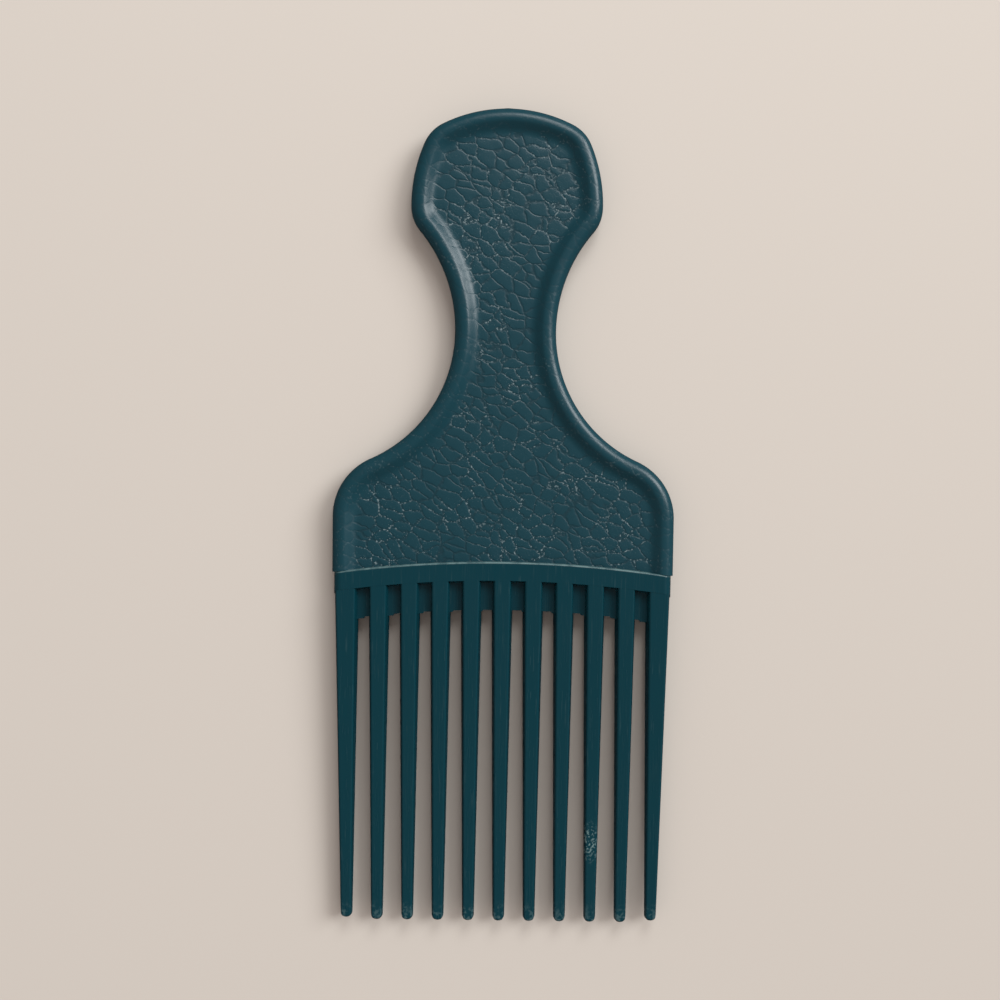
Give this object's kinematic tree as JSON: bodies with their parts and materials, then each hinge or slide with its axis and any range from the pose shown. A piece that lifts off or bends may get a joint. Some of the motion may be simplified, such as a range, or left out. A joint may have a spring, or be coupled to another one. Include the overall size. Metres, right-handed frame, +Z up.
{
  "type": "afro pick",
  "caption": "Moulded hair pick with a dished, grained handle, a narrow waist, an arched spine and long tapered teeth joined by thin webs at their roots.",
  "frame": {"origin": "middle of the pick's width and length, on the surface that its back lies on", "axes": "+X across the pick to the right, +Y from the tips to the crown of the handle, +Z up from the back to the front face"},
  "size_m": [0.069, 0.165, 0.0056],
  "materials": {
    "grained_plastic": "semi-gloss dark teal plastic with a moulded leather grain",
    "smooth_plastic": "smooth glossy dark teal plastic"
  },
  "bodies": {
    "root": {"handle_plate": "grained_plastic", "handle_rim": "grained_plastic", "comb_spine": "smooth_plastic", "tooth_01": "smooth_plastic", "tooth_02": "smooth_plastic", "tooth_03": "smooth_plastic", "tooth_04": "smooth_plastic", "tooth_05": "smooth_plastic", "tooth_06": "smooth_plastic", "tooth_07": "smooth_plastic", "tooth_08": "smooth_plastic", "tooth_09": "smooth_plastic", "tooth_10": "smooth_plastic", "tooth_11": "smooth_plastic", "slot_web_01": "smooth_plastic", "slot_web_02": "smooth_plastic", "slot_web_03": "smooth_plastic", "slot_web_04": "smooth_plastic", "slot_web_05": "smooth_plastic", "slot_web_06": "smooth_plastic", "slot_web_07": "smooth_plastic", "slot_web_08": "smooth_plastic", "slot_web_09": "smooth_plastic", "slot_web_10": "smooth_plastic"}
  },
  "joints": []
}
